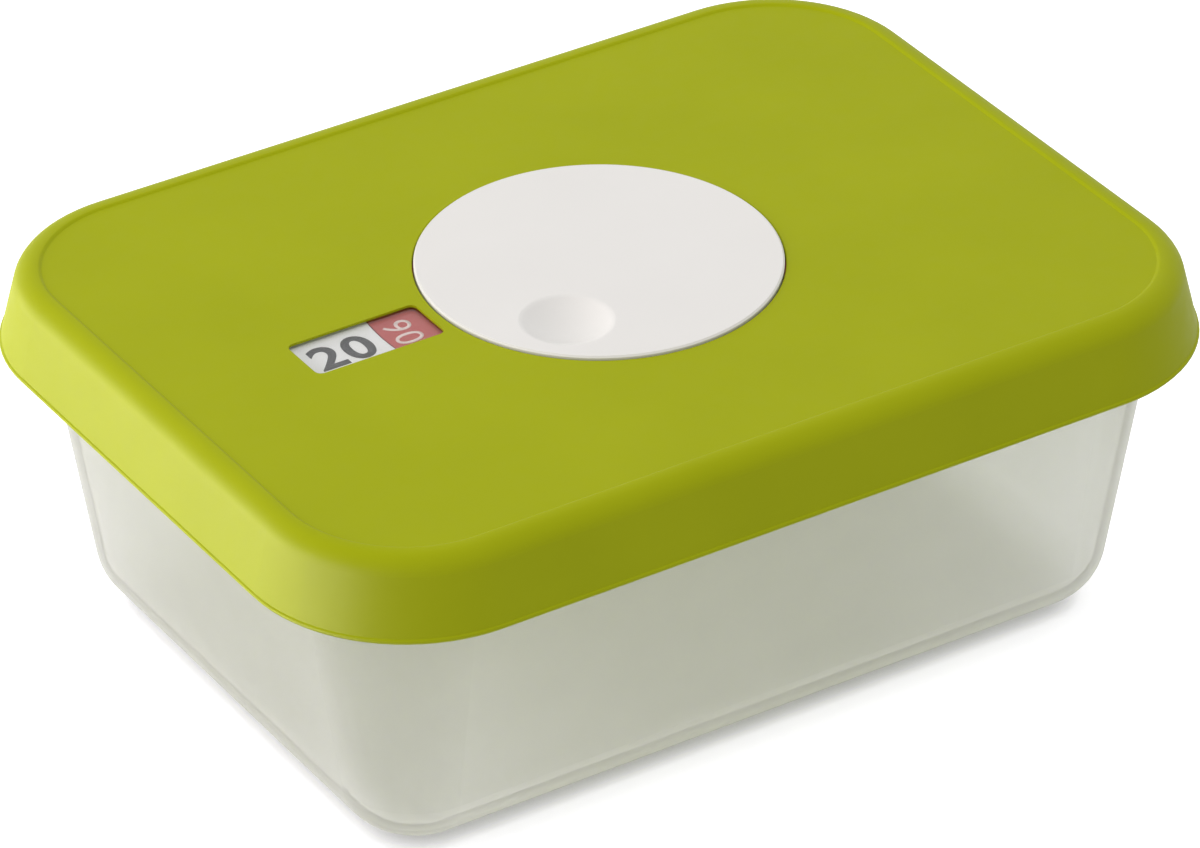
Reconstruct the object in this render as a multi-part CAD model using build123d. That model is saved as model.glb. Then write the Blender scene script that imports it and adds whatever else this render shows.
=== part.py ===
from build123d import *
import os
from math import cos, radians, sin, sqrt, tan

# Rectangular food canister: a translucent tub and a push-on lid that carries a date dial.
# Millimetres, +Z up, the origin at the middle of the base, the long side along X.

# Shared
OVERRUN = 1.0            # how far a cut runs past the face it opens
SEAT_GAP = 0.3           # clear space between the lid and the rim it rests on
RUNNING_GAP = 0.08       # radial clearance of a turning fit
FREE_GAP = 0.3           # clearance between parts that pass each other
TOLERANCE = 0.003        # for picking edges by their height or radius
CHAMFER_SHARE = 2 - sqrt(2)   # of a round's radius: the chamfer that touches that round

# Tub
MOUTH_END_INSET = 8.4    # lid's bottom outline to the tub's wall at the rim, at the ends
MOUTH_SIDE_INSET = 7.7   # and along the sides
TUB_CORNER = 14.3        # wall outline carried down to the base, without the bottom radius
TUB_HEIGHT = 70.7
TUB_DRAFT = 8.75         # degrees from upright
TUB_WALL = 2.0
TUB_FLOOR = 2.2
TUB_BOTTOM_RADIUS = 13.5
FOOT_INSET = 15.0        # foot ring, inwards of the base outline
FOOT_CORNER = 6.0
FOOT_WIDTH = 2.8
FOOT_HEIGHT = 0.8
RIM_THICKNESS = 2.0
RIM_DROP = 4.6           # height of the turned-down rim
RIM_WALL = 1.6
RIM_CHAMFER = 0.5
RIM_CLEARANCE = 0.8      # between the rim and the inside of the lid's skirt

# Lid cover
LID_LENGTH = 210.0       # outline at the skirt's bottom edge
LID_WIDTH = 157.5
LID_CORNER = 34.0
LID_DRAFT = 13.85        # degrees from upright
LID_WALL = 1.6
SKIRT_HEIGHT = 16.4      # bottom edge to the crest of the border
SKIRT_EDGE_CHAMFER = 0.6
SKIRT_LIP_HEIGHT = 1.2   # thicker lip along the skirt's bottom edge
SKIRT_LIP_PROUD = 0.25
SHOULDER_RADIUS = 4.6
BORDER_INSET = 8.9       # bottom outline to the edge of the panel
PANEL_CORNER = 25.0
PANEL_RECESS = 0.4
PANEL_STEP_TAPER = 55.0  # degrees from upright
PANEL_STEP_ROUND = 0.8   # where the step meets the crest
HOLE_CHAMFER = 0.2

# Window and its lens
WINDOW_DIAL_GAP = 2.45   # from the dial to the window's inner end
WINDOW_RIM_GAP = 1.5     # from its outer end to the day ring's rim
WINDOW_WIDTH = 12.3
WINDOW_CORNER = 1.5
WINDOW_DEPTH = 0.5       # from the panel down to the lens
LENS_THICKNESS = 1.1
LENS_LEDGE = 1.6         # lens overlap behind the panel on three sides
LENS_INNER_LEDGE = 0.6   # and on the side next to the dial
LENS_CORNER = 2.5
LENS_GAP = 0.05

# Lid liner
LINER_FLOOR = 1.8
DISC_SPACE = 3.9         # from the liner's floor to the cover's underside
LINER_SIDE_GAP = 0.3
PLUG_DEPTH = 7.0
PLUG_WALL = 1.6
PLUG_LIP = 0.9
PLUG_LIP_HEIGHT = 1.4
WALL_TOP_GAP = 0.4       # cover's underside to the tops of the click walls
POST_RADIUS = 7.0
POST_WALL = 1.8
POST_TOP_GAP = 0.3
PIN_RADIUS = 2.0
PIN_TIP_GAP = 0.4
PIN_GAP = 0.05
SOCKET_WALL = 1.3
SOCKET_TOP_GAP = 0.1
PIN_PLACE_SHARES = ((0.86, 0.0), (0.66, 0.8))   # of half the lid's length and width

# Seal
SEAL_BAND = 1.4
SEAL_REACH = 3.4         # plug wall to the tips of the fins
SEAL_GAP = 0.3
FIN_THICKNESS = 0.7
FIN_ANGLE = 50.0         # degrees from upright
FIN_LOW_DROP = 5.0       # foot of each fin, below the liner
FIN_HIGH_DROP = 2.7

# Dial knob
DIAL_SHARE = 0.5268      # the dial's radius, of the day ring's
DIAL_GAP = 0.3
DIAL_PROUD = 0.6
KNOB_PLATE = 1.9
KNOB_WALL = 1.8
KNOB_EDGE_CHAMFER = 0.35
HUB_WALL = 2.0
HUB_END_GAP = 0.1
RIB_WIDTH = 1.0
RIB_DEPTH = 0.5
RIB_COUNT = 6
DIMPLE_RADIUS = 9.0
DIMPLE_DEPTH = 3.0
DIMPLE_WALL = 1.5
DIMPLE_BACK_RADIUS = 7.4
DIMPLE_BACK_LOW_RADIUS = 4.6
DIMPLE_EDGE_ROUND = 1.6
DIMPLE_PLACE_SHARE = 0.648    # distance from the axis, of the dial's radius
DIMPLE_ANGLE = 222.3     # degrees from +X
HOOK_COUNT = 6
HOOK_ANGLE = 7.0         # degrees that each hook spans
HOOK_WALL = 1.0
HOOK_BARB = 0.9
HOOK_BARB_HEIGHT = 0.7
HOOK_GAP = 0.05

# Month disc and day ring
DISC_DROP = 0.3          # below the cover's underside
DISC_THICKNESS = 1.2
DAY_RING_INSET = 9.75    # from the long side of the lid's outline to the day ring's rim
DAY_BORE_SHARE = 0.7174  # the day ring's bore, of its own radius
MONTH_BORE_INSET = 4.3   # from the dial's rim to the month disc's bore
MONTH_NOTCH = 0.5        # depth of the notches that the hooks turn the disc by
DAY_SKIRT_INSET = 3.8    # from the day ring's bore to the outside of its bearing skirt
DAY_SKIRT_WALL = 1.3
BEARING_RIB_WALL = 1.4
TAB_ANGLE = 8.0          # degrees that each pick-up tab spans
TAB_INSET = 2.8          # from the month disc's rim to the inner face of the tabs
TAB_WIDTH = 2.2
TAB_OVERLAP_HEIGHT = 1.0
RUB_WIDTH = 1.0
RUB_GAP = 0.1
PAD_INSET = 3.0          # from the day ring's rim to the pads that keep it down
PAD_COUNT = 3
PAD_ANGLE = 20.0

# Clicks
DAY_STEPS = 31
MONTH_STEPS = 12
NOTCH_SIDES = 4          # of the square whose corner cuts a notch
DAY_NOTCH_DEPTH = 0.7
HUB_NOTCH_DEPTH = 0.5
FINGER_ANGLES = (60.0, 240.0)
FINGER_WALL = 0.9
FINGER_FLOOR_GAP = 0.5
ROOT_WALL = 2.0          # thicker end that carries each finger
NOSE_GAP = 0.25
DAY_FINGER_SWEEP = 36.0  # degrees, root and finger
DAY_ROOT_SWEEP = 12.0
DAY_NOSE_SETBACK = 2.0   # degrees from the finger's free end
DAY_NOSE_RADIUS = 0.8
HUB_FINGER_SWEEP = 70.0
HUB_ROOT_SWEEP = 16.0
HUB_NOSE_SETBACK = 4.0
HUB_NOSE_RADIUS = 0.6

# Heights worked out from the values above
LINER_Z = TUB_HEIGHT + SEAT_GAP
FLOOR_Z = LINER_Z + LINER_FLOOR
UNDERSIDE_Z = FLOOR_Z + DISC_SPACE
PANEL_Z = UNDERSIDE_Z + LID_WALL
CREST_Z = PANEL_Z + PANEL_RECESS
SKIRT_Z = CREST_Z - SKIRT_HEIGHT
DIAL_Z = PANEL_Z + DIAL_PROUD
KNOB_UNDER_Z = DIAL_Z - KNOB_PLATE
DISC_TOP_Z = UNDERSIDE_Z - DISC_DROP
DISC_UNDER_Z = DISC_TOP_Z - DISC_THICKNESS
TAB_LOW_Z = FLOOR_Z + FREE_GAP
LENS_TOP_Z = PANEL_Z - WINDOW_DEPTH
FINGER_TOP_Z = UNDERSIDE_Z - WALL_TOP_GAP

# Radii, outlines and places worked out
MOUTH_GROWTH = TUB_HEIGHT * tan(radians(TUB_DRAFT))
TUB_LENGTH = LID_LENGTH - 2 * (MOUTH_END_INSET + MOUTH_GROWTH)
TUB_WIDTH = LID_WIDTH - 2 * (MOUTH_SIDE_INSET + MOUTH_GROWTH)
HUB_BORE_RADIUS = POST_RADIUS + RUNNING_GAP
HUB_RADIUS = HUB_BORE_RADIUS + HUB_WALL
DAY_RADIUS = LID_WIDTH / 2 - DAY_RING_INSET
DAY_BORE_RADIUS = DAY_BORE_SHARE * DAY_RADIUS
DAY_SKIRT_RADIUS = DAY_BORE_RADIUS + DAY_SKIRT_INSET
PAD_RADIUS = DAY_RADIUS - PAD_INSET
MONTH_RADIUS = DAY_BORE_RADIUS - FREE_GAP
TAB_INNER_RADIUS = MONTH_RADIUS - TAB_INSET
DIAL_RADIUS = DIAL_SHARE * DAY_RADIUS
MONTH_BORE_RADIUS = DIAL_RADIUS - MONTH_BORE_INSET
DIMPLE_PLACE = DIMPLE_PLACE_SHARE * DIAL_RADIUS
BEARING_RIB_RADIUS = DAY_SKIRT_RADIUS + RUNNING_GAP
WINDOW_LENGTH = DAY_RADIUS - WINDOW_RIM_GAP - DIAL_RADIUS - WINDOW_DIAL_GAP
WINDOW_X = WINDOW_LENGTH / 2 - (DAY_RADIUS - WINDOW_RIM_GAP)
LENS_LENGTH = WINDOW_LENGTH + LENS_LEDGE + LENS_INNER_LEDGE
LENS_WIDTH = WINDOW_WIDTH + 2 * LENS_LEDGE
LENS_X = WINDOW_X - (LENS_LEDGE - LENS_INNER_LEDGE) / 2
DIMPLE_XY = (DIMPLE_PLACE * cos(radians(DIMPLE_ANGLE)), DIMPLE_PLACE * sin(radians(DIMPLE_ANGLE)))


def tub_section(height, inset=0):
    """The tub's outline at a height, or one drawn inside it."""
    grow = height * tan(radians(TUB_DRAFT)) - inset
    return Pos(0, 0, height) * RectangleRounded(
        TUB_LENGTH + 2 * grow, TUB_WIDTH + 2 * grow, TUB_CORNER + grow)


def lid_section(height, inset=0):
    """The lid skirt's outline at a height, or one drawn inside it."""
    shrink = (height - SKIRT_Z) * tan(radians(LID_DRAFT)) + inset
    return Pos(0, 0, height) * RectangleRounded(
        LID_LENGTH - 2 * shrink, LID_WIDTH - 2 * shrink, LID_CORNER - shrink)


def rim_section(height, inset=0):
    """The tub rim's outline, which follows the inside of the lid's skirt."""
    return Pos(0, 0, height - TUB_HEIGHT) * lid_section(
        TUB_HEIGHT, LID_WALL + RIM_CLEARANCE + inset)


def ring(inner, outer, low, high, start=0, sweep=360):
    """A ring about the dial's axis, or a sector of one."""
    profile = Plane.XZ * Pos((inner + outer) / 2, (low + high) / 2) * Rectangle(
        outer - inner, high - low)
    return Rot(0, 0, start) * revolve(profile, Axis.Z, revolution_arc=sweep)


def upright(radius, low, high, x=0, y=0):
    """A round pin between two heights."""
    return Pos(x, y, low) * extrude(Circle(radius), high - low)


def at_angle(radius, degrees):
    """The place at a radius and an angle about the dial's axis."""
    return radius * cos(radians(degrees)), radius * sin(radians(degrees))


def level_edges(part, height):
    """The edges of a part that lie at one height."""
    return part.edges().filter_by_position(Axis.Z, height - TOLERANCE, height + TOLERANCE).filter_by(
        lambda edge: edge.bounding_box().size.Z < TOLERANCE)


def notches(radius, depth, count):
    """V notches to cut into a rim, one at each step."""
    return Sketch() + PolarLocations(radius, count) * RegularPolygon(depth, NOTCH_SIDES)


def pin_places():
    """Where the cover is pinned to the liner, mirrored to all four quarters."""
    places = set()
    for x_share, y_share in PIN_PLACE_SHARES:
        for x_side in (-1, 1):
            for y_side in (-1, 1):
                places.add((x_side * x_share * LID_LENGTH / 2, y_side * y_share * LID_WIDTH / 2))
    return sorted(places)


def tub():
    """Translucent tub: drafted walls, a large bottom radius, a foot ring and a turned-down rim."""
    body = extrude(tub_section(FOOT_HEIGHT), TUB_HEIGHT - FOOT_HEIGHT, taper=-TUB_DRAFT)
    body = fillet(level_edges(body, FOOT_HEIGHT), TUB_BOTTOM_RADIUS)
    rim = extrude(rim_section(TUB_HEIGHT - RIM_DROP), RIM_DROP)
    rim = chamfer(level_edges(rim, TUB_HEIGHT), RIM_CHAMFER)
    rim -= extrude(rim_section(TUB_HEIGHT - RIM_DROP, RIM_WALL), RIM_DROP - RIM_THICKNESS)
    cavity_z = FOOT_HEIGHT + TUB_FLOOR
    cavity = extrude(
        tub_section(cavity_z, TUB_WALL), TUB_HEIGHT + OVERRUN - cavity_z, taper=-TUB_DRAFT)
    cavity = fillet(level_edges(cavity, cavity_z), TUB_BOTTOM_RADIUS - TUB_WALL)
    foot_length = TUB_LENGTH - 2 * FOOT_INSET
    foot_width = TUB_WIDTH - 2 * FOOT_INSET
    foot = RectangleRounded(foot_length, foot_width, FOOT_CORNER) - RectangleRounded(
        foot_length - 2 * FOOT_WIDTH, foot_width - 2 * FOOT_WIDTH, FOOT_CORNER - FOOT_WIDTH)
    return body + rim + extrude(foot, FOOT_HEIGHT) - cavity


def lid_cover():
    """Green cover: flared skirt, rounded raised border, flat panel, dial hole and window."""
    shell = extrude(lid_section(SKIRT_Z), SKIRT_HEIGHT, taper=LID_DRAFT)
    shell = fillet(level_edges(shell, CREST_Z), SHOULDER_RADIUS)
    lip = extrude(lid_section(SKIRT_Z, -SKIRT_LIP_PROUD), SKIRT_LIP_HEIGHT, taper=LID_DRAFT)
    shell += chamfer(level_edges(lip, SKIRT_Z + SKIRT_LIP_HEIGHT), SKIRT_LIP_PROUD)
    shell = chamfer(level_edges(shell, SKIRT_Z), SKIRT_EDGE_CHAMFER)
    hollow = extrude(lid_section(SKIRT_Z, LID_WALL), UNDERSIDE_Z - SKIRT_Z, taper=LID_DRAFT)
    hollow = chamfer(
        level_edges(hollow, UNDERSIDE_Z), CHAMFER_SHARE * (SHOULDER_RADIUS - LID_WALL))
    panel = RectangleRounded(
        LID_LENGTH - 2 * BORDER_INSET, LID_WIDTH - 2 * BORDER_INSET, PANEL_CORNER)
    recess = Pos(0, 0, PANEL_Z) * extrude(panel, PANEL_RECESS + OVERRUN, taper=-PANEL_STEP_TAPER)
    hole_radius = DIAL_RADIUS + DIAL_GAP
    hole = upright(hole_radius, UNDERSIDE_Z - OVERRUN, PANEL_Z + OVERRUN)
    window = Pos(WINDOW_X, 0, UNDERSIDE_Z - OVERRUN) * extrude(
        RectangleRounded(WINDOW_LENGTH, WINDOW_WIDTH, WINDOW_CORNER),
        LID_WALL + PANEL_RECESS + 2 * OVERRUN)
    pocket = Pos(LENS_X, 0, UNDERSIDE_Z - OVERRUN) * extrude(
        RectangleRounded(LENS_LENGTH, LENS_WIDTH, LENS_CORNER),
        LENS_TOP_Z - UNDERSIDE_Z + OVERRUN)
    cover = shell - recess
    crest = cover.faces().sort_by(Axis.Z)[-1]
    cover = fillet(crest.inner_wires()[0].edges(), PANEL_STEP_ROUND)
    cover = cover - hollow - hole
    hole_edge = level_edges(cover, PANEL_Z).filter_by(GeomType.CIRCLE).filter_by(
        lambda edge: abs(edge.radius - hole_radius) < TOLERANCE)
    cover = chamfer(hole_edge, HOLE_CHAMFER)
    rub_z = DISC_TOP_Z + RUB_GAP
    cover += ring(hole_radius, hole_radius + RUB_WIDTH, rub_z, UNDERSIDE_Z)
    for step in range(PAD_COUNT):
        cover += ring(PAD_RADIUS, PAD_RADIUS + RUB_WIDTH, rub_z, UNDERSIDE_Z,
                      step * 360 / PAD_COUNT - PAD_ANGLE / 2, PAD_ANGLE)
    for x, y in pin_places():
        cover += upright(PIN_RADIUS, FLOOR_Z + PIN_TIP_GAP, UNDERSIDE_Z, x, y)
    return cover - window - pocket


def window_lens():
    """Clear plate held in the pocket behind the window."""
    plate = RectangleRounded(
        LENS_LENGTH - 2 * LENS_GAP, LENS_WIDTH - 2 * LENS_GAP, LENS_CORNER - LENS_GAP)
    return Pos(LENS_X, 0, LENS_TOP_Z - LENS_THICKNESS) * extrude(plate, LENS_THICKNESS)


def click_fingers(rim_radius, top, nose_radius, sweep, root_sweep, nose_setback):
    """Two springy fingers round a notched rim, each on a root that stands on the liner."""
    inner = rim_radius + NOSE_GAP + nose_radius
    low = FLOOR_Z + FINGER_FLOOR_GAP
    made = []
    for angle in FINGER_ANGLES:
        root = ring(inner, inner + ROOT_WALL, FLOOR_Z, top, angle, root_sweep)
        finger = ring(inner, inner + FINGER_WALL, low, top, angle, sweep)
        nose = upright(nose_radius, low, top, *at_angle(inner, angle + sweep - nose_setback))
        made.append(root + finger + nose)
    return made


def plug_section(height, inset=0):
    """Outline of the plug wall, which clears the tub's mouth by the seal and its gap."""
    narrowest_z = LINER_Z - FIN_LOW_DROP
    mouth = tub_section(narrowest_z, TUB_WALL + SEAL_GAP + SEAL_REACH + inset)
    return Pos(0, 0, height - narrowest_z) * mouth


def lid_liner():
    """Food-side plate with the plug wall, the dial's post and bearing rib, and the click fingers."""
    side = lid_section(FLOOR_Z, LID_WALL + LINER_SIDE_GAP)
    liner = Pos(0, 0, LINER_Z - FLOOR_Z) * extrude(side, LINER_FLOOR)
    plug = extrude(plug_section(LINER_Z - PLUG_DEPTH), PLUG_DEPTH)
    plug += extrude(plug_section(LINER_Z - PLUG_DEPTH, -PLUG_LIP), PLUG_LIP_HEIGHT)
    liner += plug - extrude(plug_section(LINER_Z - PLUG_DEPTH, PLUG_WALL), PLUG_DEPTH)
    liner += ring(BEARING_RIB_RADIUS, BEARING_RIB_RADIUS + BEARING_RIB_WALL,
                  FLOOR_Z, DISC_UNDER_Z - HUB_END_GAP)
    liner += click_fingers(DAY_RADIUS, FINGER_TOP_Z, DAY_NOSE_RADIUS,
                           DAY_FINGER_SWEEP, DAY_ROOT_SWEEP, DAY_NOSE_SETBACK)
    liner += click_fingers(HUB_RADIUS, DISC_UNDER_Z, HUB_NOSE_RADIUS,
                           HUB_FINGER_SWEEP, HUB_ROOT_SWEEP, HUB_NOSE_SETBACK)
    post_z = KNOB_UNDER_Z - POST_TOP_GAP
    liner += upright(POST_RADIUS, FLOOR_Z, post_z)
    liner -= upright(POST_RADIUS - POST_WALL, LINER_Z - OVERRUN, post_z - POST_WALL)
    bore = PIN_RADIUS + PIN_GAP
    for x, y in pin_places():
        liner += upright(bore + SOCKET_WALL, FLOOR_Z, UNDERSIDE_Z - SOCKET_TOP_GAP, x, y)
        liner -= upright(bore, FLOOR_Z, UNDERSIDE_Z, x, y)
    return liner


def lid_seal():
    """Soft ring round the plug wall: a band with two fins that lean up and outwards."""
    band_low = LINER_Z - PLUG_DEPTH + PLUG_LIP_HEIGHT
    band_high = LINER_Z
    seal = extrude(plug_section(band_low, -SEAL_BAND), band_high - band_low)
    lean = (SEAL_REACH - SEAL_BAND) / tan(radians(FIN_ANGLE))
    for drop in (FIN_LOW_DROP, FIN_HIGH_DROP):
        flare = extrude(plug_section(LINER_Z - drop, -SEAL_BAND), lean, taper=-FIN_ANGLE)
        fin = flare - Pos(0, 0, FIN_THICKNESS) * flare
        seal += fin
    return seal - extrude(plug_section(band_low - OVERRUN), PLUG_DEPTH + OVERRUN)


def dimple_ball():
    """A ball whose lowest part forms the finger dimple."""
    curve = (DIMPLE_RADIUS ** 2 + DIMPLE_DEPTH ** 2) / (2 * DIMPLE_DEPTH)
    return Pos(*DIMPLE_XY, DIAL_Z - DIMPLE_DEPTH + curve) * Sphere(curve)


def dimple_back():
    """The cone under the knob's plate that backs the finger dimple."""
    low = DIAL_Z - DIMPLE_DEPTH - DIMPLE_WALL
    return Pos(*DIMPLE_XY, (low + KNOB_UNDER_Z) / 2) * Cone(
        DIMPLE_BACK_LOW_RADIUS, DIMPLE_BACK_RADIUS, KNOB_UNDER_Z - low)


def hooks():
    """Snap hooks under the knob, spaced clear of the dimple, that grip the month disc."""
    outer = MONTH_BORE_RADIUS + MONTH_NOTCH - HOOK_GAP
    barb_z = DISC_UNDER_Z - HOOK_GAP
    made = []
    for step in range(HOOK_COUNT):
        angle = DIMPLE_ANGLE + (step + 1 / 2) * 360 / HOOK_COUNT - HOOK_ANGLE / 2
        leg = ring(outer - HOOK_WALL, outer, barb_z - HOOK_BARB_HEIGHT, KNOB_UNDER_Z, angle, HOOK_ANGLE)
        barb = ring(outer - HOOK_WALL, outer + HOOK_BARB, barb_z - HOOK_BARB_HEIGHT, barb_z,
                    angle, HOOK_ANGLE)
        made.append(leg + barb)
    return made


def dial_knob():
    """White dial: a thin ribbed cap with a finger dimple, a notched hub and snap hooks."""
    cap = upright(DIAL_RADIUS, DISC_TOP_Z, DIAL_Z)
    cap = chamfer(level_edges(cap, DIAL_Z), KNOB_EDGE_CHAMFER)
    space = upright(DIAL_RADIUS - KNOB_WALL, DISC_TOP_Z, KNOB_UNDER_Z)
    knob = cap - space + dimple_back()
    hub = upright(HUB_RADIUS, FLOOR_Z + HUB_END_GAP, KNOB_UNDER_Z)
    hub_cuts = notches(HUB_RADIUS, HUB_NOTCH_DEPTH, MONTH_STEPS)
    knob += hub - Pos(0, 0, FLOOR_Z) * extrude(hub_cuts, DISC_UNDER_Z - FLOOR_Z)
    for step in range(RIB_COUNT):
        length = DIAL_RADIUS - KNOB_WALL - HUB_BORE_RADIUS
        rib = Pos((HUB_RADIUS + DIAL_RADIUS - KNOB_WALL) / 2, 0, KNOB_UNDER_Z - RIB_DEPTH / 2) * Box(
            length, RIB_WIDTH, RIB_DEPTH)
        knob += Rot(0, 0, DIMPLE_ANGLE + step * 360 / RIB_COUNT) * rib
    knob -= upright(HUB_BORE_RADIUS, FLOOR_Z, KNOB_UNDER_Z)
    for hook in hooks():
        knob += hook
    knob -= dimple_ball()
    rim = level_edges(knob, DIAL_Z).filter_by(
        lambda edge: edge.bounding_box().size.X < 2 * DIMPLE_RADIUS + DIAL_GAP)
    return fillet(rim, DIMPLE_EDGE_ROUND)


def month_disc():
    """Red disc snapped under the dial, notched for the hooks, with a pick-up tab below."""
    disc = ring(MONTH_BORE_RADIUS, MONTH_RADIUS, DISC_UNDER_Z, DISC_TOP_Z)
    for step in range(HOOK_COUNT):
        angle = DIMPLE_ANGLE + (step + 1 / 2) * 360 / HOOK_COUNT - HOOK_ANGLE / 2
        disc -= ring(MONTH_BORE_RADIUS - OVERRUN, MONTH_BORE_RADIUS + MONTH_NOTCH,
                     DISC_UNDER_Z - OVERRUN, DISC_TOP_Z + OVERRUN, angle, HOOK_ANGLE)
    tab = ring(TAB_INNER_RADIUS, TAB_INNER_RADIUS + TAB_WIDTH, TAB_LOW_Z, DISC_UNDER_Z,
               180 - TAB_ANGLE / 2, TAB_ANGLE)
    return disc + tab


def day_ring():
    """White ring round the month disc: a notched rim, a bearing skirt and an inward tab."""
    face = Circle(DAY_RADIUS) - Circle(DAY_BORE_RADIUS)
    face -= notches(DAY_RADIUS, DAY_NOTCH_DEPTH, DAY_STEPS)
    wheel = Pos(0, 0, DISC_UNDER_Z) * extrude(face, DISC_THICKNESS)
    wheel += ring(DAY_SKIRT_RADIUS - DAY_SKIRT_WALL, DAY_SKIRT_RADIUS, TAB_LOW_Z, DISC_UNDER_Z)
    tab = ring(TAB_INNER_RADIUS, DAY_SKIRT_RADIUS - DAY_SKIRT_WALL / 2,
               TAB_LOW_Z, TAB_LOW_Z + TAB_OVERLAP_HEIGHT, -TAB_ANGLE / 2, TAB_ANGLE)
    return wheel + tab


PIECES = {
    "tub": tub,
    "lid_cover": lid_cover,
    "window_lens": window_lens,
    "lid_liner": lid_liner,
    "lid_seal": lid_seal,
    "dial_knob": dial_knob,
    "month_disc": month_disc,
    "day_ring": day_ring,
}

os.makedirs("parts", exist_ok=True)
for name, make in PIECES.items():
    export_step(make(), f"parts/{name}.step")
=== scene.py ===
from math import cos, pi, radians, sin

import bmesh
import bpy
from mathutils import Matrix, Vector

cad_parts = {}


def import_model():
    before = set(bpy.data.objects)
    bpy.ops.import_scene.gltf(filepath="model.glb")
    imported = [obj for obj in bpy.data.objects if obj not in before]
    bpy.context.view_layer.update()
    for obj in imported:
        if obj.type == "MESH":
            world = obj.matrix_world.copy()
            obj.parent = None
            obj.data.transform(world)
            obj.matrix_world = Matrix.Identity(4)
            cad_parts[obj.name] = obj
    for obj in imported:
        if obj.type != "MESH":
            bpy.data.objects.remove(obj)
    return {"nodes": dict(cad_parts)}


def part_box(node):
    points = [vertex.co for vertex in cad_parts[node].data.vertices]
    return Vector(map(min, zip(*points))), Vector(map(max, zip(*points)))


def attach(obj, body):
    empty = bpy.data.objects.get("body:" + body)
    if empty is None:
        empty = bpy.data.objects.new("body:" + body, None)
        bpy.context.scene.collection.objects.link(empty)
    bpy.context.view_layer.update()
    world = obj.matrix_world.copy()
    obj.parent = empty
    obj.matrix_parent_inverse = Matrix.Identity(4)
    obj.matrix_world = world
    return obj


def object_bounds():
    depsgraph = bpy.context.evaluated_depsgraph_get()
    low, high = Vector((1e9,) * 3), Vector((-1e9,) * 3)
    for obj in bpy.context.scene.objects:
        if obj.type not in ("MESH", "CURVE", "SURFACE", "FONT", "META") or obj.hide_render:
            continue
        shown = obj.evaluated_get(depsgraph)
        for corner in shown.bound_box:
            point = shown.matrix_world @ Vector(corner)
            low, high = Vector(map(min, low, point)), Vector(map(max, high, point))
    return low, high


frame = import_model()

# Looks of the rectangular food canister with a date dial in its lid.
# Metres, +Z up, the long side along X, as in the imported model. Colours are linear.

MM = 0.001
WHITE = (1.0, 1.0, 1.0)
cad_low, cad_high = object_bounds()

# Camera, from the photograph's perspective
IMAGE_WIDTH = 1200
SENSOR_WIDTH = 36.0
FOCAL_PX = 7364.0
AZIMUTH = -32.44             # degrees; 0 looks along +Y
ELEVATION = 32.59
ROLL = -0.295
DISTANCE = 1.4614
TARGET_Z = 0.0395
TARGET_RIGHT = 0.00002
TARGET_UP = 0.00075
CLIP_START, CLIP_END = 0.1, 20.0

# Light, as the brightness that each gives a white surface facing it
WORLD_LIGHT = 0.53
WORLD_SEEN = 1.0             # the background in the picture, and what gloss mirrors of it
SOFTBOX_DISTANCE = 1.1
SOFTBOX_SIZE = 0.6
SOFTBOXES = {
    # name: (direction from the object, brightness, colour)
    "softbox_left": ((-1.0, 0.0, 0.40), 0.17, (1.0, 0.90, 0.88)),
    "softbox_behind": ((-0.75, 0.7, 0.26), 0.40, (1.0, 0.97, 0.96)),
    "softbox_above": ((0.0, 0.0, 1.0), 0.31, WHITE),
}
PANEL_X = -0.22              # low panel on the left, which shows in gloss only
PANEL_Y = (-0.12, 0.45)
PANEL_HEIGHT = 0.108         # so low that the lid's top doesn't mirror it to a raised camera
PANEL_BRIGHTNESS = 9.5       # as seen, where 1 is white
PANEL_COLOUR = (1.0, 0.96, 0.95)

# Floor
FLOOR_RADIUS = 6.0
FLOOR_SEGMENTS = 96
FLOOR_GAP = 0.05 * MM        # left under the tub's foot
FLOOR_LIT = (0.80, 0.80, 0.81)       # colour that lights the object from below
FLOOR_SEEN = (0.555, 0.55, 0.60)     # colour that shows the shadow to the camera
FLOOR_GLOW = 0.95            # what the camera sees of the open floor, besides its shading
FLOOR_GLOW_INDIRECT = 0.40   # the same in gloss and through clear plastic
FLOOR_REACHES = (0.0035, 0.012)      # how near something has to be to take that away
FLOOR_REACH_SAMPLES = 8

# Surfaces of the opaque plastics: (scale of the patches in the colour, scale and strength
# of the grain)
MOULDED = (35.0, 2600.0, 0.05)
POLISHED = (35.0, 600.0, 0.01)
TURNED = (90.0, 2600.0, 0.04)
PLASTICS = {
    # name: (darker and lighter colour of the patches, roughness, specular level, surface)
    "lid_plastic_look": ((0.352, 0.394, 0.001), (0.370, 0.412, 0.002), 0.50, 0.12, MOULDED),
    "liner_plastic_look": ((0.42, 0.47, 0.10), (0.44, 0.49, 0.12), 0.55, 0.2, MOULDED),
    "seal_silicone_look": ((0.62, 0.64, 0.60), (0.66, 0.68, 0.64), 0.5, 0.3, MOULDED),
    "dial_plastic_look": ((0.81, 0.792, 0.765), (0.83, 0.812, 0.785), 0.34, 0.40, POLISHED),
    "month_plastic_look": ((0.50, 0.078, 0.075), (0.52, 0.088, 0.085), 0.5, 0.35, TURNED),
    "day_plastic_look": ((0.86, 0.845, 0.85), (0.88, 0.865, 0.87), 0.5, 0.35, TURNED),
    "day_ink_look": ((0.060, 0.060, 0.065), (0.072, 0.072, 0.077), 0.55, 0.35, TURNED),
    "month_ink_look": ((0.86, 0.70, 0.68), (0.90, 0.74, 0.72), 0.55, 0.35, TURNED),
}
GLOSS_PATCHES = 8            # patches of gloss in one of colour
GLOSS_SPREAD = 0.03          # how far they take the roughness up and down
GRAIN_DETAIL = 2.0
GRAIN_DEPTH = 0.00005

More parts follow.
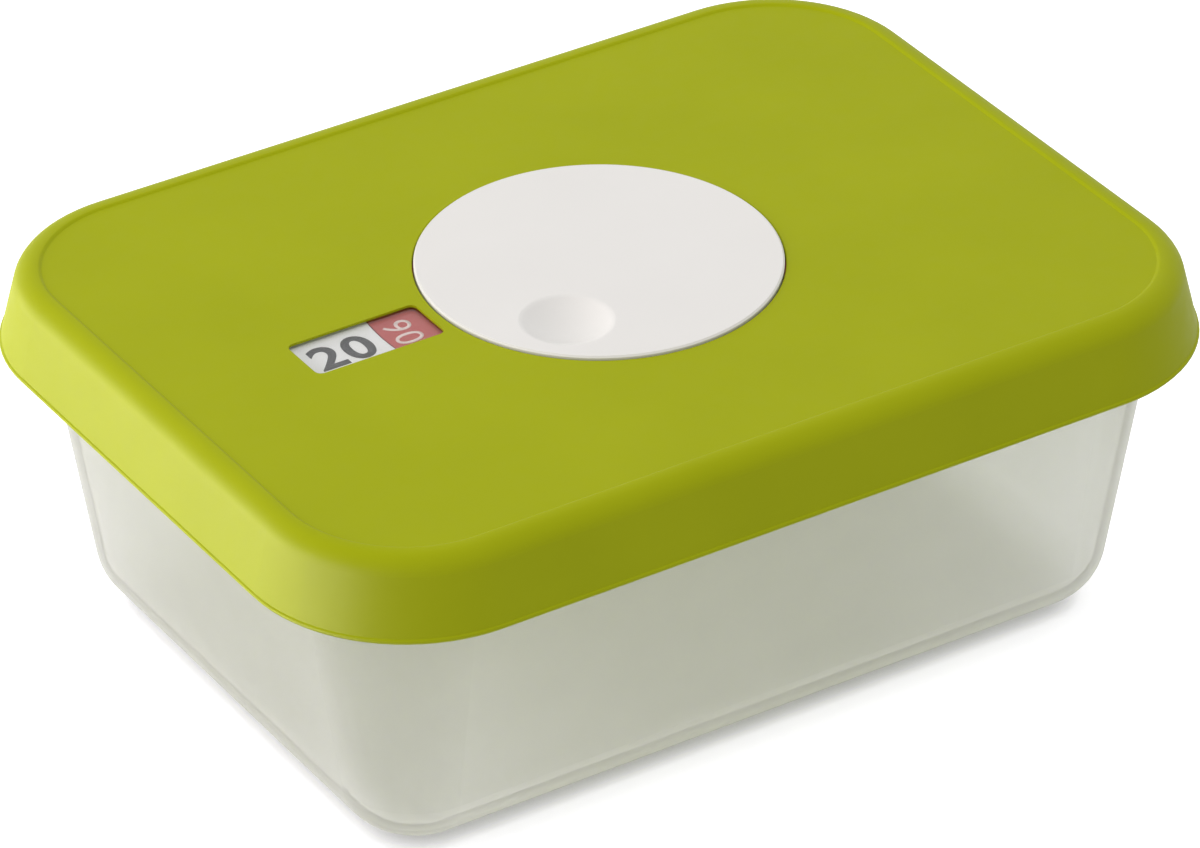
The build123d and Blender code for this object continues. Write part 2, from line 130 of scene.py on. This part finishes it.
# Clear and milky plastic
CLOUD_DETAIL = 3.0
CLOUD_RANGE = (0.3, 0.7)     # where most of a noise texture's values lie
EVEN_BLEND = 0.5             # makes the slant 1 less the cosine of the viewing angle
MIRROR_POWER = 5.0           # how late mirroring rises towards the edges
HEAD_ON = 0.04               # share of light that clear plastic mirrors, seen head on
TUB_EDGE_ON = 0.5            # and the tub's finely rough face, seen edge on
TUB_PATCHES = 22.0
TUB_CLEAR = (0.68, 0.72)     # share of light that passes its wall unscattered, head on
TUB_LEAST_FACING = 0.12      # cosine below which the way through its wall grows no longer
FOOT_HEIGHT = 0.7 * MM       # below this the foot ring is lighter and cloudier, a painted highlight for its lit edges
FOOT_HIGHLIGHT_CLEAR = 0.3             # share of the wall's clearness left in that painted highlight
TUB_COLOUR = (0.935, 0.93, 0.93)
FOOT_HIGHLIGHT_COLOUR = (0.97, 0.97, 0.96)
TUB_SCATTER_ROUGH = 0.3
TUB_SCATTER_ON = 0.85        # share of the scattered light that comes out on the other side
TUB_PASSES = (0.985, 0.99, 0.98)
TUB_BLUR = 0.06
THIN_WALL_IOR = 1.12         # how little a thin even wall bends what is seen through it
TUB_GLOSS_PATCHES = 60.0
TUB_GLOSS = (0.16, 0.22)
TUB_WAVES = 9.0              # long shallow waves of a moulded wall
TUB_WAVE_DETAIL = 1.0
TUB_WAVE_STRENGTH = 0.25
TUB_WAVE_DEPTH = 0.0004
LENS_PASSES = (0.985, 0.99, 0.985)
LENS_BLUR = 0.0
LENS_IOR = 1.49
LENS_EDGE_ON = 1.0
LENS_MARKS = 300.0
LENS_GLOSS = (0.05, 0.09)

# Numbers printed on the wheels
DAYS = {
    "count": 31, "shown": 20,
    "width": 13.1 * MM, "height": 8.45 * MM, "radius": 58.4 * MM,
    "weight": 0.022,         # how far the strokes are thickened, of the font's size
    "turn": pi,              # of each number against the direction it lies in
}
MONTHS = {
    "count": 12, "shown": 6,
    "width": 8.4 * MM, "height": 5.9 * MM, "radius": 44.8 * MM,
    "weight": -0.004,
    "turn": -pi / 2,
}
SHOWN_ANGLE = 180.0          # degrees from +X, where the window shows them
DIGIT_SPACING = 1.08
DIGIT_CURVE_STEPS = 6
INK_THICKNESS = 0.04 * MM
WELD = 1e-6


def opaque(colour):
    return (*colour, 1.0)


class Shader:
    """The nodes of a material or of the world, and short ways to add to them."""

    # Sockets of the Mix node that belong to colours
    BLEND_INPUTS = (0, 6, 7)
    BLEND_OUTPUT = 2

    def __init__(self, owner, output):
        owner.use_nodes = True
        self.nodes = owner.node_tree.nodes
        self.links = owner.node_tree.links
        self.nodes.clear()
        self.output = self.add(output)

    def add(self, kind, **settings):
        made = self.nodes.new("ShaderNode" + kind)
        for key, value in settings.items():
            setattr(made, key, value)
        return made

    def put(self, socket, value):
        """Sets an input, to a value or to another node's output."""
        if isinstance(value, bpy.types.NodeSocket):
            self.links.new(value, socket)
        else:
            socket.default_value = value

    def feed(self, node, **inputs):
        """Sets a node's inputs by name."""
        for key, value in inputs.items():
            self.put(node.inputs[key.replace("_", " ")], value)
        return node

    def fill(self, node, *values):
        """Sets a node's first inputs in their order, and gives its first output."""
        for socket, value in zip(node.inputs, values):
            self.put(socket, value)
        return node.outputs[0]

    def place(self):
        """Where a point lies in its piece's own frame."""
        return self.add("TexCoord").outputs["Object"]

    def noise(self, scale, detail=CLOUD_DETAIL):
        made = self.add("TexNoise")
        return self.feed(made, Vector=self.place(), Scale=scale, Detail=detail).outputs["Fac"]

    def span(self, value, low, high, start=CLOUD_RANGE[0], end=CLOUD_RANGE[1]):
        """A value, such as a texture's, spread between two numbers."""
        made = self.feed(self.add("MapRange"), Value=value,
                         From_Min=start, From_Max=end, To_Min=low, To_Max=high)
        return made.outputs["Result"]

    def blend(self, share, first, second):
        """A mix of two colours."""
        made = self.add("Mix", data_type="RGBA")
        for index, value in zip(self.BLEND_INPUTS, (share, first, second)):
            self.put(made.inputs[index], value)
        return made.outputs[self.BLEND_OUTPUT]

    def math(self, operation, first, second):
        return self.fill(self.add("Math", operation=operation), first, second)

    def bump(self, height, strength, distance):
        made = self.feed(self.add("Bump"), Strength=strength, Distance=distance, Height=height)
        return made.outputs["Normal"]

    def mix(self, share, first, second):
        """A mix of two shaders."""
        return self.fill(self.add("MixShader"), share, first, second)

    def slant(self):
        """0 where a surface faces the ray, 1 where it is seen edge on, alike from both sides."""
        return self.feed(self.add("LayerWeight"), Blend=EVEN_BLEND).outputs["Facing"]

    def gloss_share(self, edge_on):
        """The share of light that clear plastic mirrors, growing towards the edges."""
        rising = self.math("POWER", self.slant(), MIRROR_POWER)
        return self.math("ADD", self.math("MULTIPLY", rising, edge_on - HEAD_ON), HEAD_ON)

    def shine(self, **inputs):
        return self.feed(self.add("BsdfGlossy"), Color=opaque(WHITE), **inputs).outputs[0]

    def clear_way(self, colour, rough, ior):
        """Light going through: bent where it is seen, straight where it only lights."""
        path = self.add("LightPath").outputs
        unseen = self.math("MAXIMUM", path["Is Shadow Ray"], path["Is Diffuse Ray"])
        bent = self.feed(self.add("BsdfRefraction"), Color=colour, Roughness=rough, IOR=ior)
        straight = self.feed(self.add("BsdfTransparent"), Color=colour)
        return self.mix(unseen, bent.outputs[0], straight.outputs[0])

    def finish(self, surface):
        self.links.new(surface, self.output.inputs["Surface"])


def new_material(name):
    material = bpy.data.materials.new(name)
    return material, Shader(material, "OutputMaterial")


def plastic(name):
    """Opaque plastic: nearly even colour, slightly uneven gloss and a fine grain."""
    dark, light, rough, specular, (patches, grain_scale, grain) = PLASTICS[name]
    material, s = new_material(name)
    body = s.add("BsdfPrincipled")
    cloud = s.span(s.noise(patches), 0.0, 1.0)
    colour = s.blend(cloud, opaque(dark), opaque(light))
    gloss = s.span(s.noise(patches * GLOSS_PATCHES), rough - GLOSS_SPREAD, rough + GLOSS_SPREAD)
    normal = s.bump(s.noise(grain_scale, GRAIN_DETAIL), grain, GRAIN_DEPTH)
    s.feed(body, Base_Color=colour, Roughness=gloss, Specular_IOR_Level=specular, Normal=normal)
    s.finish(body.outputs[0])
    return material


def tub_plastic():
    """Natural polypropylene: milky, clear enough to see through a wall, cloudier at a slant."""
    material, s = new_material("tub_plastic_look")
    facing = s.math("MAXIMUM", s.math("SUBTRACT", 1.0, s.slant()), TUB_LEAST_FACING)
    cloud = s.span(s.noise(TUB_PATCHES), *TUB_CLEAR)
    clear = s.math("POWER", cloud, s.math("DIVIDE", 1.0, facing))
    height = s.feed(s.add("SeparateXYZ"), Vector=s.place()).outputs["Z"]
    # Painted highlight: the foot ring is made lighter and cloudier than the wall, to stand for the
    # light lines along its edges.
    above_foot = s.math("GREATER_THAN", height, cad_low.z + FOOT_HEIGHT)
    clear = s.math("MULTIPLY", clear, s.span(above_foot, FOOT_HIGHLIGHT_CLEAR, 1.0, 0.0, 1.0))
    tint = s.blend(above_foot, opaque(FOOT_HIGHLIGHT_COLOUR), opaque(TUB_COLOUR))
    front = s.feed(s.add("BsdfDiffuse"), Color=tint, Roughness=TUB_SCATTER_ROUGH)
    behind = s.feed(s.add("BsdfTranslucent"), Color=tint)
    milk = s.mix(TUB_SCATTER_ON, front.outputs[0], behind.outputs[0])
    body = s.mix(clear, milk, s.clear_way(opaque(TUB_PASSES), TUB_BLUR, THIN_WALL_IOR))
    gloss = s.span(s.noise(TUB_GLOSS_PATCHES), *TUB_GLOSS)
    waves = s.noise(TUB_WAVES, TUB_WAVE_DETAIL)
    normal = s.bump(waves, TUB_WAVE_STRENGTH, TUB_WAVE_DEPTH)
    s.finish(s.mix(s.gloss_share(TUB_EDGE_ON), body, s.shine(Roughness=gloss, Normal=normal)))
    return material


def lens_plastic():
    """Clear pane over the wheels: see-through with a polished face and faint wiping marks."""
    material, s = new_material("lens_plastic_look")
    through = s.clear_way(opaque(LENS_PASSES), LENS_BLUR, LENS_IOR)
    gloss = s.span(s.noise(LENS_MARKS), *LENS_GLOSS)
    s.finish(s.mix(s.gloss_share(LENS_EDGE_ON), through, s.shine(Roughness=gloss)))
    return material


def paint(node, look):
    """Gives a CAD node its material."""
    slots = frame["nodes"][node].data.materials
    slots.clear()
    slots.append(look)


def add_object(name, data):
    made = bpy.data.objects.new(name, data)
    bpy.context.scene.collection.objects.link(made)
    return made


def digits(text, weight):
    """The flat outline mesh of a short number, centred, its height along +Y, and its extent."""
    curve = bpy.data.curves.new("digits", "FONT")
    curve.body = text
    curve.size = 1.0
    curve.offset = weight
    curve.space_character = DIGIT_SPACING
    curve.resolution_u = DIGIT_CURVE_STEPS
    carrier = add_object("digits", curve)
    bpy.context.view_layer.update()
    mesh = bpy.data.meshes.new_from_object(carrier)
    bpy.data.objects.remove(carrier)
    low = [min(v.co[i] for v in mesh.vertices) for i in range(2)]
    high = [max(v.co[i] for v in mesh.vertices) for i in range(2)]
    middle = Vector(((low[0] + high[0]) / 2, (low[1] + high[1]) / 2, 0))
    mesh.transform(Matrix.Translation(-middle))
    return mesh, high[0] - low[0], high[1] - low[1]


def numbers(name, body, look, top, wheel):
    """All the numbers of one wheel as one thin printed piece."""
    joined = bmesh.new()
    for value in range(1, wheel["count"] + 1):
        mesh, wide, tall = digits(f"{value:02d}", wheel["weight"])
        step = (value - wheel["shown"]) * 2 * pi / wheel["count"]
        angle = radians(SHOWN_ANGLE) + step
        radius = wheel["radius"]
        place = Matrix.Translation((radius * cos(angle), radius * sin(angle), top))
        spin = Matrix.Rotation(angle + wheel["turn"], 4, "Z")
        scale = Matrix.Diagonal((wheel["width"] / wide, wheel["height"] / tall, 1, 1))
        mesh.transform(place @ spin @ scale)
        joined.from_mesh(mesh)
        bpy.data.meshes.remove(mesh)
    bmesh.ops.remove_doubles(joined, verts=joined.verts, dist=WELD)
    bottom = joined.faces[:]
    for face in bottom:
        if face.normal.z < 0:
            face.normal_flip()
    raised = bmesh.ops.extrude_face_region(joined, geom=bottom)
    lifted = [v for v in raised["geom"] if isinstance(v, bmesh.types.BMVert)]
    bmesh.ops.translate(joined, verts=lifted, vec=(0, 0, INK_THICKNESS))
    bmesh.ops.recalc_face_normals(joined, faces=joined.faces)
    mesh = bpy.data.meshes.new(name)
    joined.to_mesh(mesh)
    joined.free()
    mesh.materials.append(look)
    piece = add_object(name, mesh)
    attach(piece, body)


def floor():
    """A wide pale floor that the camera sees as white, but for the object's shadow."""
    look, s = new_material("floor_look")
    path = s.add("LightPath").outputs
    colour = s.blend(path["Is Camera Ray"], opaque(FLOOR_LIT), opaque(FLOOR_SEEN))
    shade = s.feed(s.add("BsdfDiffuse"), Color=colour)
    near, far = (
        s.feed(s.add("AmbientOcclusion", samples=FLOOR_REACH_SAMPLES), Distance=reach).outputs["AO"]
        for reach in FLOOR_REACHES)
    open_share = s.math("MULTIPLY", s.math("ADD", near, far), 0.5)
    indirect = s.math("MAXIMUM", path["Is Glossy Ray"], path["Is Transmission Ray"])
    share = s.math("MAXIMUM", s.math("MULTIPLY", path["Is Camera Ray"], FLOOR_GLOW),
                   s.math("MULTIPLY", indirect, FLOOR_GLOW_INDIRECT))
    strength = s.math("MULTIPLY", share, open_share)
    glow = s.feed(s.add("Emission"), Color=opaque(WHITE), Strength=strength)
    s.finish(s.fill(s.add("AddShader"), shade.outputs[0], glow.outputs[0]))
    look.cycles.emission_sampling = "NONE"
    shape = bmesh.new()
    bmesh.ops.create_circle(shape, cap_ends=True, segments=FLOOR_SEGMENTS, radius=FLOOR_RADIUS)
    mesh = bpy.data.meshes.new("floor")
    shape.to_mesh(mesh)
    shape.free()
    mesh.materials.append(look)
    made = add_object("floor", mesh)
    made.location = (0, 0, cad_low.z - FLOOR_GAP)


def world():
    """Even soft light from all round, seen as white by the camera, in gloss and through plastic."""
    made = bpy.data.worlds.new("studio")
    bpy.context.scene.world = made
    s = Shader(made, "OutputWorld")
    path = s.add("LightPath").outputs
    seen = s.math("MAXIMUM", path["Is Camera Ray"], path["Is Glossy Ray"])
    seen = s.math("MAXIMUM", seen, path["Is Transmission Ray"])
    light, white = (
        s.feed(s.add("Background"), Color=opaque(WHITE), Strength=strength).outputs[0]
        for strength in (WORLD_LIGHT, WORLD_SEEN))
    s.finish(s.mix(seen, light, white))


def lamp_at(name, place, way, size, colour):
    """One area lamp that shines against a direction, seen in gloss at most."""
    data = bpy.data.lights.new(name, "AREA")
    data.shape = "RECTANGLE"
    data.size, data.size_y = size
    data.color = colour
    lamp = add_object(name, data)
    lamp.location = place
    lamp.rotation_mode = "QUATERNION"
    lamp.rotation_quaternion = way.to_track_quat("Z", "Y")
    lamp.visible_camera = False
    lamp.visible_transmission = False
    return lamp


def lamps():
    """Large softboxes aimed at the object, and the low panel."""
    middle = (cad_low + cad_high) / 2
    for name, (direction, brightness, colour) in SOFTBOXES.items():
        way = Vector(direction).normalized()
        size = (SOFTBOX_SIZE, SOFTBOX_SIZE)
        lamp = lamp_at(name, middle + way * SOFTBOX_DISTANCE, way, size, colour)
        lamp.data.energy = brightness * (pi * SOFTBOX_DISTANCE) ** 2
        lamp.visible_glossy = False
    width = PANEL_Y[1] - PANEL_Y[0]
    place = Vector((PANEL_X, sum(PANEL_Y) / 2, cad_low.z + PANEL_HEIGHT / 2))
    way = Vector((-1, 0, 0))
    panel = lamp_at("sheen_panel", place, way, (width, PANEL_HEIGHT), PANEL_COLOUR)
    panel.data.energy = PANEL_BRIGHTNESS * pi * width * PANEL_HEIGHT
    panel.visible_diffuse = False


def camera():
    """The photograph's long-lens view from the front left, above."""
    turn, tilt, roll = radians(AZIMUTH), radians(ELEVATION), radians(ROLL)
    back = Vector((sin(turn) * cos(tilt), -cos(turn) * cos(tilt), sin(tilt)))
    right = (-back).cross(Vector((0, 0, 1))).normalized()
    up = right.cross(-back)
    right, up = cos(roll) * right + sin(roll) * up, cos(roll) * up - sin(roll) * right
    target = Vector((0, 0, TARGET_Z)) + right * TARGET_RIGHT + up * TARGET_UP
    data = bpy.data.cameras.new("camera")
    data.sensor_width = SENSOR_WIDTH
    data.lens = FOCAL_PX / IMAGE_WIDTH * SENSOR_WIDTH
    data.clip_start, data.clip_end = CLIP_START, CLIP_END
    made = add_object("camera", data)
    place = Matrix.Translation(target + back * DISTANCE)
    made.matrix_world = place @ Matrix((right, up, back)).transposed().to_4x4()
    bpy.context.scene.camera = made


camera()
world()
lamps()
floor()

for node, look in (
        ("tub", tub_plastic()),
        ("lid_cover", plastic("lid_plastic_look")),
        ("window_lens", lens_plastic()),
        ("lid_liner", plastic("liner_plastic_look")),
        ("lid_seal", plastic("seal_silicone_look")),
        ("dial_knob", plastic("dial_plastic_look")),
        ("month_disc", plastic("month_plastic_look")),
        ("day_ring", plastic("day_plastic_look"))):
    paint(node, look)

disc_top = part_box("day_ring")[1].z
day_ink, month_ink = plastic("day_ink_look"), plastic("month_ink_look")
numbers("day_numbers", "day_wheel", day_ink, disc_top, DAYS)
numbers("month_numbers", "dial", month_ink, disc_top, MONTHS)

for node in frame["nodes"].values():
    for face in node.data.polygons:
        face.use_smooth = True

bpy.context.scene.view_settings.view_transform = "Standard"
